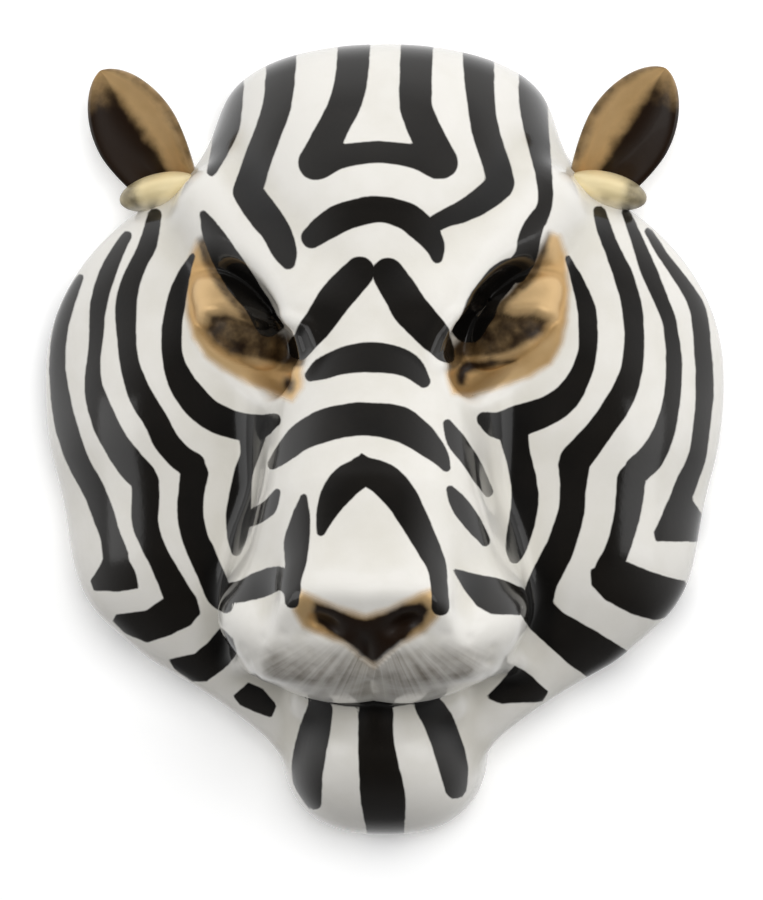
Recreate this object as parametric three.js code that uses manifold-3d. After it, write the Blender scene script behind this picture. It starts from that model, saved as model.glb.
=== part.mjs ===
// Porcelain tiger mask: a hollow glazed shell that hangs flat on a wall.
//
// Millimetres. X runs to the viewer's right, Y up the face and Z out of it, so the flat rim of the
// open back lies at z = 0 and the nose is the highest point. The middle of the rim's box is the origin.
//
// The face is sculpted as a signed distance: round masses that melt into one another, with hollows
// taken out. Straight rays from inside the head find its surface, and the points that they hit are
// joined ring by ring into a closed skin. The hollow behind it is a second, plainer skin.

import * as THREE from "three";
import { mergeVertices } from "three/addons/utils/BufferGeometryUtils.js";
import Module from "manifold-3d";

// Driving dimensions
const FACE_WIDTH = 334; // across the cheeks
const CROWN_TOP = 195; // top of the forehead, above the eye line's middle
const CHIN_BOTTOM = -195; // underside of the chin
const WALL = 7; // thickness of the fired shell
const HANGING_WEB = 8; // thickness of the web behind the crown
const HANGING_HOLE = 12; // diameter of the hole for a wall hook
const HOLE_HEIGHT = 168; // its place up the face

// Fineness of the facets
const SPOKES = 100; // around the face
const RINGS = 32; // from the bridge of the nose out to the rim
const HOLLOW_SPOKES = 56;
const HOLLOW_RINGS = 13;
const EAR_STATIONS = 10;
const EAR_SIDES = 18;
const LIP_SIDES = 14;
const LIP_RINGS = 9;

// Round masses: centre and radii, how square the outline in the face plane is (2 is round), a shorter
// or longer radius above the centre, the turn in the face plane in degrees, and the width over which
// the mass melts into what is already there
const FACE = { centre: [0, 30, 20], radii: [FACE_WIDTH / 2, 158, 60], above: 116, square: 2.1 };
const CROWN = { centre: [0, 84, 0], radii: [91, 120, 98], square: 3, blend: 24 };
const CHEEK_BONE = { centre: [96, 6, 40], radii: [46, 42, 32], turn: -35, blend: 34 };
const JOWL = { centre: [90, -55, 28], radii: [58, 45, 42], turn: -14, blend: 30 };
const MUZZLE = { centre: [0, -72, 80], radii: [66, 51, 74], blend: 22 };
const CHIN = { centre: [0, CHIN_BOTTOM + 48, 4], radii: [51, 48, 76], square: 2.5, blend: 12 };
const EYE_HOLLOW = { centre: [65.5, 58.5, 96], radii: [45, 19.5, 31], turn: 52, blend: 8 };
const EYE_BALL = { centre: [66, 56, 59], radii: [33, 20, 25], turn: 50, blend: 2 };
const WHISKER_PAD = { centre: [35, -95, 101], radii: [40, 23, 47], turn: 24, blend: 20 };
const NOSTRIL = { centre: [18, -87, 164], radii: [9, 4.5, 9], turn: 28, blend: 6 };
const LIP_GROOVE = { centre: [0, -112, 160], radii: [5, 20, 16], blend: 6 };

// Round bars: the two ends, the radius at each, and the blend
const BRIDGE = { from: [0, 94, 58], to: [0, -34, 104], thick: [42, 54], blend: 30 };
const BROW = { from: [30, 57, 96], to: [82, 114, 54], thick: [18, 14], blend: 20 };
const JAW = { from: [40, -130, 30], to: [94, -91, 24], thick: [23, 20], blend: 22 };
const LOWER_LIP = { from: [0, -133, 78], to: [34, -128, 60], thick: [5, 4], blend: 14 };

// The top of the head is trimmed to an arc
const CROWN_ARC = { radius: 184, blend: 10 };

// Nose: a flat-topped wedge from between the eyes to the tip. Its flanks lean out, its leather is a
// slanted cut in front that sweeps back a little to the sides, and it fades into the forehead.
const NOSE = {
  root: 60,
  tip: -66,
  rootHalf: 20,
  tipHalf: 35,
  rootHeight: 112,
  tipHeight: 172,
  camber: 0.004,
  flankLean: 15,
  shoulder: 14,
  fade: 0.7,
  fadeBlend: 30,
  blend: 8,
};
const LEATHER = { y: -78, z: 170, slant: 37, sweep: 0.1, blend: 5 };
const NOSE_END = { y: -112, blend: 10 };

// Ears: scoops that lean out from the sides of the crown, and a rolled lip under each.
// widest and roundFrom are shares of the length from the root: where the ear is widest, and where its
// thickness starts to close. rootNarrowing is the share of width lost at the root, and the larger
// tipNarrowing is, the more pointed the tip.
const EAR = {
  base: [100, 117, 20],
  tip: [138.5, 182, 27],
  facing: [0.1, -0.1, 1],
  half: 20.5,
  widest: 0.52,
  rootNarrowing: 0.5,
  tipNarrowing: 0.66,
  scoop: 18,
  scoopLoss: 0.45,
  thick: 9,
  bow: 4,
  roundFrom: 0.86,
};
const EAR_LIP = { centre: [110, 122, 28], radii: [20, 9, 15], turn: -14 };

// The web behind the crown: half the width of its top, how far it hangs below the hole, and how much its
// feet flare. Its corners end inside the wall of the shell.
const WEB = { half: 68, below: 24, flare: 16, segments: 16 };

const GLAZE = { color: 0xe8e8de, roughness: 0.12, metalness: 0 };
const TINY = 1e-9;

// Smaller of two distances, with the crease between them filled over a width of blend
function join(a, b, blend) {
  const near = Math.max(blend - Math.abs(a - b), 0);
  return Math.min(a, b) - (near * near) / (4 * blend);
}

// What two bodies have in common, with the edge rounded over a width of blend
function overlap(a, b, blend) {
  return -join(-a, -b, blend);
}

// Distance to an ellipsoid whose outline in the face plane is a superellipse
function mass(x, y, z, { centre, radii, above = radii[1], square = 2, turn = 0 }) {
  const angle = THREE.MathUtils.degToRad(turn);
  const px = Math.cos(angle) * (x - centre[0]) + Math.sin(angle) * (y - centre[1]);
  const py = Math.cos(angle) * (y - centre[1]) - Math.sin(angle) * (x - centre[0]);
  const upright = py > 0 ? above : radii[1];
  const ax = Math.abs(px) / radii[0];
  const ay = Math.abs(py) / upright;
  const az = (z - centre[2]) / radii[2];
  const outline = (ax ** square + ay ** square + TINY) ** (1 / square);
  const slope = outline ** (2 - square);
  const gx = (slope * ax ** (square - 1)) / radii[0];
  const gy = (slope * ay ** (square - 1)) / upright;
  const level = Math.hypot(outline, az);
  return ((level - 1) * level) / (Math.hypot(gx, gy, az / radii[2]) + TINY);
}

// Distance to a round bar whose radius changes evenly from end to end
function bar(x, y, z, { from, to, thick }) {
  const along = [to[0] - from[0], to[1] - from[1], to[2] - from[2]];
  const offset = [x - from[0], y - from[1], z - from[2]];
  const dot = offset[0] * along[0] + offset[1] * along[1] + offset[2] * along[2];
  const t = THREE.MathUtils.clamp(dot / (along[0] ** 2 + along[1] ** 2 + along[2] ** 2), 0, 1);
  const apart = Math.hypot(offset[0] - t * along[0], offset[1] - t * along[1], offset[2] - t * along[2]);
  return apart - THREE.MathUtils.lerp(thick[0], thick[1], t);
}

// The crown, with its top trimmed to the arc
function crown(x, y, z) {
  const arc = Math.hypot(x, y - (CROWN_TOP - CROWN_ARC.radius)) - CROWN_ARC.radius;
  return overlap(mass(x, y, z, CROWN), arc, CROWN_ARC.blend);
}

// The head without its eyes, pads, nose and mouth. What comes in pairs is made for the right side of
// the face and meant for both, because only the distance from the middle line counts.
function plainHead(x, y, z) {
  const side = Math.abs(x);
  let head = mass(x, y, z, FACE);
  head = join(head, crown(x, y, z), CROWN.blend);
  head = join(head, mass(side, y, z, CHEEK_BONE), CHEEK_BONE.blend);
  head = join(head, mass(side, y, z, JOWL), JOWL.blend);
  head = join(head, bar(x, y, z, BRIDGE), BRIDGE.blend);
  head = join(head, mass(x, y, z, MUZZLE), MUZZLE.blend);
  head = join(head, bar(side, y, z, BROW), BROW.blend);
  head = join(head, bar(side, y, z, JAW), JAW.blend);
  return join(head, mass(x, y, z, CHIN), CHIN.blend);
}

// The wedge of the nose, as what its planes have in common
function nose(x, y, z) {
  const side = Math.abs(x);
  const length = NOSE.root - NOSE.tip;
  const t = (NOSE.root - y) / length;
  const half = THREE.MathUtils.lerp(NOSE.rootHalf, NOSE.tipHalf, THREE.MathUtils.clamp(t, 0, 1));
  const above = z - THREE.MathUtils.lerp(NOSE.rootHeight, NOSE.tipHeight, t);
  const rise = Math.atan2(NOSE.tipHeight - NOSE.rootHeight, length);
  const lean = THREE.MathUtils.degToRad(NOSE.flankLean);
  const slant = THREE.MathUtils.degToRad(LEATHER.slant);

  const top = Math.cos(rise) * above + NOSE.camber * x * x;
  const flank = Math.cos(lean) * (side - half) + Math.sin(lean) * above;
  const forward = Math.cos(slant) * (z - LEATHER.z) - Math.sin(slant) * (y - LEATHER.y);
  let wedge = overlap(top, flank, NOSE.shoulder);
  wedge = overlap(wedge, NOSE.fade * (y - NOSE.root), NOSE.fadeBlend);
  wedge = overlap(wedge, forward + LEATHER.sweep * side, LEATHER.blend);
  return overlap(wedge, NOSE_END.y - y, NOSE_END.blend);
}

function tigerHead(x, y, z) {
  const side = Math.abs(x);
  let head = overlap(plainHead(x, y, z), -mass(side, y, z, EYE_HOLLOW), EYE_HOLLOW.blend);
  head = join(head, mass(side, y, z, EYE_BALL), EYE_BALL.blend);
  head = join(head, mass(side, y, z, WHISKER_PAD), WHISKER_PAD.blend);
  head = join(head, nose(x, y, z), NOSE.blend);
  head = overlap(head, -mass(side, y, z, NOSTRIL), NOSTRIL.blend);
  head = overlap(head, -mass(x, y, z, LIP_GROOVE), LIP_GROOVE.blend);
  return join(head, bar(side, y, z, LOWER_LIP), LOWER_LIP.blend);
}

// The space inside: one wall behind the plain head, and one wall clear of the eye hollows
const INSIDE_BLEND = 24;

function insideOfHead(x, y, z) {
  const clearOfEye = WALL - mass(Math.abs(x), y, z, EYE_HOLLOW);
  return overlap(plainHead(x, y, z) + WALL, clearOfEye, INSIDE_BLEND);
}

// Rays of one spoke start at one height on an upright line inside the head, so that they meet the
// undersides of the brows as well as the tops of the whisker pads. They fan out from the front point
// to an ellipse in the plane of the rim.
const RAY_MIDDLE = 22;
const RAY_SWING = 44;
const FRONT_POINT = new THREE.Vector3(0, 12, 148);
const RIM_REACH = [160, 170];
const FAR = 300;
const STRIDE = 4;
const HALVINGS = 14;
const PROBES = 160;

// The outermost point of a body along a ray
function outermost(body, start, direction) {
  const at = (r) => body(
    start.x + direction.x * r,
    start.y + direction.y * r,
    start.z + direction.z * r,
  );
  let far = FAR;
  let near = FAR - STRIDE;
  while (near > 0 && at(near) > 0) {
    far = near;
    near -= STRIDE;
  }
  for (let halving = 0; halving < HALVINGS; halving += 1) {
    const middle = (near + far) / 2;
    if (at(middle) > 0) far = middle;
    else near = middle;
  }
  return start.clone().addScaledVector(direction, (near + far) / 2);
}

// One spoke of a skin: a function from 0 at the front point to 1 at the rim, to a point on the body
function spoke(body, frontPoint, theta) {
  const start = new THREE.Vector3(0, RAY_MIDDLE + RAY_SWING * Math.sin(theta), 0);
  const rim = new THREE.Vector3(RIM_REACH[0] * Math.cos(theta), RIM_REACH[1] * Math.sin(theta), 0);
  const forward = frontPoint.clone().sub(start).normalize();
  const sideways = rim.sub(start).normalize();
  const sweep = forward.angleTo(sideways);
  return (t) => {
    const direction = forward.clone().multiplyScalar(Math.sin((1 - t) * sweep) / Math.sin(sweep));
    direction.addScaledVector(sideways, Math.sin(t * sweep) / Math.sin(sweep));
    return outermost(body, start, direction);
  };
}

// Places along a spoke that cut it into even lengths on the surface
function evenPlaces(pointAt, count) {
  const lengths = [0];
  let last = pointAt(0);
  for (let k = 1; k <= PROBES; k += 1) {
    const here = pointAt(k / PROBES);
    lengths.push(lengths[k - 1] + here.distanceTo(last));
    last = here;
  }
  const places = [];
  let k = 0;
  for (let ring = 1; ring <= count; ring += 1) {
    const wanted = (lengths[PROBES] * ring) / count;
    while (k < PROBES - 1 && lengths[k + 1] < wanted) k += 1;
    places.push((k + (wanted - lengths[k]) / (lengths[k + 1] - lengths[k])) / PROBES);
  }
  return places;
}

// Closed body from rings of points, each ring closed, with a fan to a point at either end.
// The cell between two rings is split along its shorter diagonal.
function bodyFromRings(start, rings, end) {
  const count = rings[0].length;
  const points = [start, ...rings.flat(), end];
  const at = (ring, k) => 1 + ring * count + (k % count);
  const triangles = [];
  for (let k = 0; k < count; k += 1) {
    triangles.push(0, at(0, k), at(0, k + 1));
    triangles.push(at(rings.length - 1, k), points.length - 1, at(rings.length - 1, k + 1));
    for (let ring = 0; ring < rings.length - 1; ring += 1) {
      const a = at(ring, k);
      const b = at(ring + 1, k);
      const c = at(ring + 1, k + 1);
      const d = at(ring, k + 1);
      const alongAC = points[a].distanceTo(points[c]) < points[b].distanceTo(points[d]);
      if (alongAC) triangles.push(a, b, c, a, c, d);
      else triangles.push(a, b, d, b, c, d);
    }
  }
  const geometry = new THREE.BufferGeometry().setFromPoints(points);
  geometry.setIndex(triangles);
  return geometry;
}

// A dome over the rim plane: the skin of a body down to z = 0, and from there straight down to a flat
// face at the given depth
function dome(body, spokes, rings, depth) {
  const middle = new THREE.Vector3(0, RAY_MIDDLE, 0);
  const frontPoint = outermost(body, middle, FRONT_POINT.clone().sub(middle).normalize());
  const columns = [];
  for (let k = 0; k < spokes; k += 1) {
    const pointAt = spoke(body, frontPoint, (2 * Math.PI * k) / spokes - Math.PI / 2);
    const column = evenPlaces(pointAt, rings).map(pointAt);
    column[rings - 1].z = 0;
    if (depth < 0) column.push(column[rings - 1].clone().setZ(depth));
    columns.push(column);
  }
  const ringPoints = columns[0].map((_, ring) => columns.map((column) => column[ring]));
  return bodyFromRings(frontPoint, ringPoints, new THREE.Vector3(0, RAY_MIDDLE, depth));
}

// One cross-section of an ear at a share s of its length: a crescent, thinner and narrower at the tip
function earSection(s, base, axis, across, front) {
  const beyond = Math.max((s - EAR.widest) / (1 - EAR.widest), 0);
  const before = Math.max((EAR.widest - s) / EAR.widest, 0);
  const towardsTip = (1 - beyond ** 2) ** EAR.tipNarrowing;
  const half = EAR.half * towardsTip * (1 - EAR.rootNarrowing * before ** 1.6);
  const scoop = EAR.scoop * (1 - EAR.scoopLoss * s) * Math.sqrt(1 - s ** 4);
  const closing = Math.max((s - EAR.roundFrom) / (1 - EAR.roundFrom), 0);
  const thin = (EAR.thick / 2) * Math.sqrt(1 - closing ** 2);
  const centre = base.clone().addScaledVector(axis, s);
  centre.addScaledVector(front, EAR.bow * (1 + Math.sin(Math.PI * s)));

  const ring = [];
  for (let k = 0; k < EAR_SIDES; k += 1) {
    const angle = (2 * Math.PI * k) / EAR_SIDES;
    const v = Math.cos(angle);
    const offset = thin * Math.sign(Math.sin(angle)) * Math.abs(Math.sin(angle)) ** 0.7;
    const length = Math.hypot(half, 2 * scoop * v);
    const point = centre.clone();
    point.addScaledVector(across, half * v - (2 * scoop * v * offset) / length);
    point.addScaledVector(front, -scoop * (1 - v * v) + (half * offset) / length);
    ring.push(point);
  }
  return ring;
}

// An ear: crescent sections carried from the root to the tip, closer together near the tip
function ear(side) {
  const base = new THREE.Vector3(...EAR.base);
  const axis = new THREE.Vector3(...EAR.tip).sub(base);
  const up = axis.clone().normalize();
  const front = new THREE.Vector3(...EAR.facing);
  front.addScaledVector(up, -front.dot(up)).normalize();
  const across = up.clone().cross(front);
  const rings = [];
  for (let k = 0; k < EAR_STATIONS; k += 1) {
    rings.push(earSection(Math.sin((0.5 * Math.PI * k) / EAR_STATIONS), base, axis, across, front));
  }
  const root = base.clone().addScaledVector(front, EAR.bow - EAR.scoop / 2);
  const tip = base.clone().add(axis).addScaledVector(front, EAR.bow);
  const geometry = bodyFromRings(root, rings, tip);
  if (side < 0) mirror(geometry);
  return geometry;
}

// The rolled lip under an ear
function earLip(side) {
  const geometry = new THREE.SphereGeometry(1, LIP_SIDES, LIP_RINGS);
  geometry.scale(...EAR_LIP.radii);
  geometry.rotateZ(THREE.MathUtils.degToRad(EAR_LIP.turn));
  geometry.translate(...EAR_LIP.centre);
  if (side < 0) mirror(geometry);
  return geometry;
}

// The same body on the other side of the face, with its faces still pointing out
function mirror(geometry) {
  geometry.scale(-1, 1, 1);
  const index = geometry.getIndex();
  for (let k = 0; k < index.count; k += 3) {
    const first = index.getX(k);
    index.setX(k, index.getX(k + 2));
    index.setX(k + 2, first);
  }
}

// The web that closes the top of the opening, with the hole for the hook. Its upper edge runs along
// the middle of the shell's wall.
function hangingWeb() {
  const radius = CROWN_ARC.radius - WALL / 2;
  const lower = HOLE_HEIGHT - WEB.below;
  const reach = Math.asin(WEB.half / radius);
  const shape = new THREE.Shape();
  shape.absarc(0, CROWN_TOP - CROWN_ARC.radius, radius, Math.PI / 2 - reach, Math.PI / 2 + reach, false);
  shape.lineTo(-WEB.half - WEB.flare, lower);
  shape.lineTo(WEB.half + WEB.flare, lower);
  shape.closePath();
  const hole = new THREE.Path();
  hole.absarc(0, HOLE_HEIGHT, HANGING_HOLE / 2, 0, 2 * Math.PI, true);
  shape.holes.push(hole);
  return new THREE.ExtrudeGeometry(shape, {
    depth: HANGING_WEB,
    bevelEnabled: false,
    curveSegments: WEB.segments,
  });
}

const wasm = await Module();
wasm.setup();

// A closed geometry as a solid: only positions count, and shared corners are one
function solid(geometry) {
  const bare = new THREE.BufferGeometry();
  bare.setAttribute("position", geometry.getAttribute("position"));
  bare.setIndex(geometry.getIndex());
  const merged = mergeVertices(bare, 1e-4);
  const corners = merged.getIndex().array;
  const triangles = [];
  for (let k = 0; k < corners.length; k += 3) {
    const [a, b, c] = corners.slice(k, k + 3);
    if (a !== b && b !== c && c !== a) triangles.push(a, b, c);
  }
  return new wasm.Manifold(new wasm.Mesh({
    numProp: 3,
    vertProperties: new Float32Array(merged.getAttribute("position").array),
    triVerts: new Uint32Array(triangles),
  }));
}

// A solid as a geometry, moved so that the middle of its footprint is the origin
function centred(body) {
  const mesh = body.getMesh();
  const geometry = new THREE.BufferGeometry();
  geometry.setAttribute("position", new THREE.BufferAttribute(new Float32Array(mesh.vertProperties), 3));
  geometry.setIndex(new THREE.BufferAttribute(new Uint32Array(mesh.triVerts), 1));
  geometry.computeBoundingBox();
  const middle = geometry.boundingBox.getCenter(new THREE.Vector3());
  geometry.translate(-middle.x, -middle.y, -geometry.boundingBox.min.z);
  geometry.computeVertexNormals();
  return geometry;
}

// The hollow starts a little below the rim plane, so that the cut leaves the back open
const BELOW_RIM = -5;

function tigerMask() {
  let body = solid(dome(tigerHead, SPOKES, RINGS, 0));
  for (const side of [-1, 1]) {
    body = body.add(solid(ear(side)));
    body = body.add(solid(earLip(side)));
  }
  body = body.subtract(solid(dome(insideOfHead, HOLLOW_SPOKES, HOLLOW_RINGS, BELOW_RIM)));
  body = body.add(solid(hangingWeb()));
  const mesh = new THREE.Mesh(centred(body), new THREE.MeshStandardMaterial(GLAZE));
  mesh.name = "tiger_mask";
  return mesh;
}

const mask = new THREE.Group();
mask.add(tigerMask());

export default mask;
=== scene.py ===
# %% [markdown]
# # A porcelain tiger mask
# The real thing is one hollow piece of porcelain, cast in a plaster mould. It is glazed white, striped in
# black, and gilded in the eyes, in the ears and on the nose. Its back is open, so that it can hang flat.
#
# It lies face up here: X runs to the right across the face, Y up the face, Z out of it. Shapes are worked
# out with numpy in millimetres, and the meshes are in metres.

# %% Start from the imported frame
import bpy
import numpy as np
from mathutils import Matrix, Vector


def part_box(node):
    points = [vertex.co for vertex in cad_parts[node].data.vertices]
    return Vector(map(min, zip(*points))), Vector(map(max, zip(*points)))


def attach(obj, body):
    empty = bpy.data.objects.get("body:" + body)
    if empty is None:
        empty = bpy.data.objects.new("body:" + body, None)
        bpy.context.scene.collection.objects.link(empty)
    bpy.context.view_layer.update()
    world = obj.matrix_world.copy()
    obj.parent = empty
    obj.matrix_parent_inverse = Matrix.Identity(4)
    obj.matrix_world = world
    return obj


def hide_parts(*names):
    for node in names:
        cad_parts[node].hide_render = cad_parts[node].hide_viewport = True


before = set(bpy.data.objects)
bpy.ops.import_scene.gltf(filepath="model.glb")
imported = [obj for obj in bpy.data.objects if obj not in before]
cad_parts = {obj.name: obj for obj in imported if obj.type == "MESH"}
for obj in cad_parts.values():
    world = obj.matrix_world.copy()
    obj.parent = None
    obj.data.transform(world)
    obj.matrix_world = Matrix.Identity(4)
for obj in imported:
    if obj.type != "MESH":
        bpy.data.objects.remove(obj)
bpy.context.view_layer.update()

# %% [markdown]
# ## Sizes
# The width, height and depth come from the frame. The wall is what such a casting has, and the rest
# of the forms are placed against these, in the same way as in the part's own solids.

# %% Driving sizes, in millimetres
MM = 0.001
low, high = (np.array(corner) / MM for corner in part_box("tiger_mask"))
FACE_HALF = high[0]
CROWN_TOP = high[1]
CHIN_BOTTOM = low[1]
WALL = 7
RIM_ROUND = 1.5
WEB_THICKNESS = 8
HOLE_RADIUS = 6
HOLE_HEIGHT = 168
WEB_BELOW_HOLE = 24
WEB_BEVEL = 0.8
print("mask is", np.round(high - low, 1), "mm")

# %% [markdown]
# ## Sculpting tools
# A modeller adds balls and rolls of clay and smooths them together. The same can be done with distances:
# each form is a function that is negative inside it and grows outwards by a millimetre a millimetre.
# The smaller of two such functions joins two forms, and a rounded minimum also fills the crease.
# Boolean modifiers would leave hard seams, which a cast face doesn't have.


# %% Join and overlap
def join(a, b, blend):
    """The smaller of two distances, lowered near the crease by (blend - gap)^2 / (4 blend)."""
    near = np.maximum(blend - np.abs(a - b), 0)
    return np.minimum(a, b) - near * near / (4 * blend)


def overlap(a, b, blend):
    """The larger of two distances, with its edge rounded in the same way."""
    return -join(-a, -b, blend)


# %% Ball and roll of clay
def mass(p, centre, radii, above=None, square=2, turn=0):
    """Distance to an ellipsoid: (level - 1) level / slope, where level is 1 on its surface.

    square makes its outline in the face plane a superellipse, above is its radius over the centre,
    and turn turns it in the face plane, in degrees.
    """
    angle = np.radians(turn)
    dx, dy, dz = np.moveaxis(p - np.array(centre), -1, 0)
    px = np.cos(angle) * dx + np.sin(angle) * dy
    py = np.cos(angle) * dy - np.sin(angle) * dx
    upright = np.where(py > 0, above or radii[1], radii[1])
    ax = np.abs(px) / radii[0]
    ay = np.abs(py) / upright
    az = dz / radii[2]
    outline = (ax**square + ay**square + 1e-9) ** (1 / square)
    slope = outline ** (2 - square)
    gx = slope * ax ** (square - 1) / radii[0]
    gy = slope * ay ** (square - 1) / upright
    level = np.hypot(outline, az)
    return (level - 1) * level / (np.sqrt(gx**2 + gy**2 + (az / radii[2]) ** 2) + 1e-9)


def bar(p, start, end, thick):
    """Distance to a round bar whose radius goes evenly from one end's to the other's."""
    start, along = np.array(start), np.subtract(end, start)
    t = np.clip((p - start) @ along / (along @ along), 0, 1)
    radius = thick[0] + (thick[1] - thick[0]) * t
    return np.linalg.norm(p - start - t[..., None] * along, axis=-1) - radius


def both_sides(p):
    """The points folded on to the right half, so that a form made there is on the left too."""
    return p * np.where(p[..., :1] < 0, [-1, 1, 1], [1, 1, 1])


# %% [markdown]
# ## The head
# A broad low oval carries a high crown, cheek bones, jowls, a bridge that widens into the muzzle, brows
# and a chin that is set well back. The wide blends between them are what makes the face look cast.


# %% Forms of the head: each has a middle and radii, or the two ends of a bar and how thick they are
OVAL = {"centre": (0, 30, 20), "radii": (FACE_HALF, 158, 60), "above": 116, "square": 2.1}
CROWN = {"centre": (0, 84, 0), "radii": (91, 120, 98), "square": 3}
CROWN_ARC = 184
CHEEK_BONE = {"centre": (96, 6, 40), "radii": (46, 42, 32), "turn": -35}
JOWL = {"centre": (90, -55, 28), "radii": (58, 45, 42), "turn": -14}
BRIDGE = {"start": (0, 94, 58), "end": (0, -34, 104), "thick": (42, 54)}
MUZZLE = {"centre": (0, -72, 80), "radii": (66, 51, 74)}
BROW = {"start": (30, 57, 96), "end": (82, 114, 54), "thick": (18, 14)}
JAW = {"start": (40, -130, 30), "end": (94, -91, 24), "thick": (23, 20)}
CHIN = {"centre": (0, CHIN_BOTTOM + 48, 4), "radii": (51, 48, 76), "square": 2.5}


# %% Plain head
def crown(p):
    """A squarish dome, trimmed along the arc of the top of the head."""
    arc = np.hypot(p[..., 0], p[..., 1] - (CROWN_TOP - CROWN_ARC)) - CROWN_ARC
    return overlap(mass(p, **CROWN), arc, 10)


def plain_head(p):
    """The forms of the head, each joined to the ones before it over so many millimetres."""
    q = both_sides(p)
    head = join(mass(p, **OVAL), crown(p), 24)
    head = join(head, mass(q, **CHEEK_BONE), 34)
    head = join(head, mass(q, **JOWL), 30)
    head = join(head, bar(p, **BRIDGE), 30)
    head = join(head, mass(p, **MUZZLE), 22)
    head = join(head, bar(q, **BROW), 20)
    head = join(head, bar(q, **JAW), 22)
    return join(head, mass(p, **CHIN), 12)


# %% [markdown]
# ## Nose, eyes and mouth
# The nose is a flat-topped wedge. Its planes are overlapped like the cuts of a knife: top, flanks and the
# slanted leather in front. Then the eye hollows are pressed in, the balls set in them, the pads laid on.


# %% Nose
NOSE_ROOT, NOSE_TIP, NOSE_UNDERSIDE = 60, -66, -112
NOSE_ROOT_HEIGHT, NOSE_RISE = 112, 60
NOSE_HALF, NOSE_FLARE = 20, 15
NOSE_CROWNING = 0.004
FLANK_LEAN, LEATHER_SLANT = np.radians([15, 37])
LEATHER_TOP, LEATHER_FRONT, LEATHER_FOLD = -78, 170, 0.1


def nose(p):
    """What the planes of the wedge have in common, with its root faded into the forehead."""
    x, y, z = np.moveaxis(p, -1, 0)
    side = np.abs(x)
    t = (NOSE_ROOT - y) / (NOSE_ROOT - NOSE_TIP)
    half = NOSE_HALF + NOSE_FLARE * np.clip(t, 0, 1)
    above = z - (NOSE_ROOT_HEIGHT + NOSE_RISE * t)
    rise = np.arctan2(NOSE_RISE, NOSE_ROOT - NOSE_TIP)
    top = np.cos(rise) * above + NOSE_CROWNING * x * x
    flank = np.cos(FLANK_LEAN) * (side - half) + np.sin(FLANK_LEAN) * above
    leather = np.cos(LEATHER_SLANT) * (z - LEATHER_FRONT) - np.sin(LEATHER_SLANT) * (y - LEATHER_TOP)
    wedge = overlap(top, flank, 14)
    wedge = overlap(wedge, 0.7 * (y - NOSE_ROOT), 30)
    wedge = overlap(wedge, leather + LEATHER_FOLD * side, 5)
    return overlap(wedge, NOSE_UNDERSIDE - y, 10)


# %% Smaller forms of the face
EYE_HOLLOW = {"centre": (65.5, 58.5, 96), "radii": (45, 19.5, 31), "turn": 52}
EYEBALL = {"centre": (66, 56, 59), "radii": (33, 20, 25), "turn": 50}
WHISKER_PAD = {"centre": (35, -95, 101), "radii": (40, 23, 47), "turn": 24}
NOSTRIL = {"centre": (18, -87, 164), "radii": (9, 4.5, 9), "turn": 28}
LIP_GROOVE = {"centre": (0, -112, 160), "radii": (5, 20, 16)}
LOWER_LIP = {"start": (0, -133, 78), "end": (34, -128, 60), "thick": (5, 4)}


# %% Whole face
def eye_hollow(p):
    """The same ball pressed into both sides."""
    return mass(both_sides(p), **EYE_HOLLOW)


def tiger_head(p):
    """The plain head with hollows, eyeballs, whisker pads, nose, nostrils, lip groove and lower lip."""
    q = both_sides(p)
    head = overlap(plain_head(p), -eye_hollow(p), 8)
    head = join(head, mass(q, **EYEBALL), 2)
    head = join(head, mass(q, **WHISKER_PAD), 20)
    head = join(head, nose(p), 8)
    head = overlap(head, -mass(q, **NOSTRIL), 6)
    head = overlap(head, -mass(p, **LIP_GROOVE), 6)
    return join(head, bar(q, **LOWER_LIP), 14)


def inside_of_head(p):
    """One wall behind the plain head, and one wall clear of the eye hollows."""
    return overlap(plain_head(p) + WALL, WALL - eye_hollow(p), 24)


# %% [markdown]
# ## From distances to a skin
# Marching cubes would give a triangle soup. A mask is a dome, so rays that fan out from inside it give a
# tidy grid instead: one column of points for each spoke from the front point down to the rim.
# Each spoke has its own starting point on an upright line, so that the rays also meet the undersides.


# %% Rays
FRONT_AIM = np.array([0, 12, 148])
RAY_MIDDLE, RAY_SWING = 22, 44
RIM_REACH = (160, 170)
FAR, STRIDE = 216, 4
PROBE_EVERY, PROBE_STEPS = 4, 160
EVEN_SHARE = 0.2


def outermost(body, start, direction, halvings=14):
    """Walks in along each ray until it is inside the body, then halves the last stride."""
    far = np.full(direction.shape[:-1], float(FAR))
    outside = np.ones(far.shape, bool)
    while outside.any():
        far[outside] -= STRIDE
        p = start[outside] + direction[outside] * far[outside][:, None]
        still = (body(p) > 0) & (far[outside] > STRIDE)
        outside[outside] = still
    near, far = far, far + STRIDE
    for _ in range(halvings):
        middle = (near + far) / 2
        out = body(start + direction * middle[..., None]) > 0
        far = np.where(out, middle, far)
        near = np.where(out, near, middle)
    return start + direction * ((near + far) / 2)[..., None]


def fan(front, theta, t):
    """Starts and directions of rays: t turns each spoke evenly from the front point to the rim."""
    start = np.stack([0 * theta, RAY_MIDDLE + RAY_SWING * np.sin(theta), 0 * theta], -1)
    rim = np.stack([RIM_REACH[0] * np.cos(theta), RIM_REACH[1] * np.sin(theta), 0 * theta + RIM_ROUND], -1)
    forward = front - start
    sideways = rim - start
    forward /= np.linalg.norm(forward, axis=-1, keepdims=True)
    sideways /= np.linalg.norm(sideways, axis=-1, keepdims=True)
    sweep = np.arccos((forward * sideways).sum(-1))[:, None]
    ahead = (np.sin((1 - t) * sweep) / np.sin(sweep))[..., None] * forward[:, None]
    aside = (np.sin(t * sweep) / np.sin(sweep))[..., None] * sideways[:, None]
    return np.broadcast_to(start[:, None], ahead.shape), ahead + aside


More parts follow.
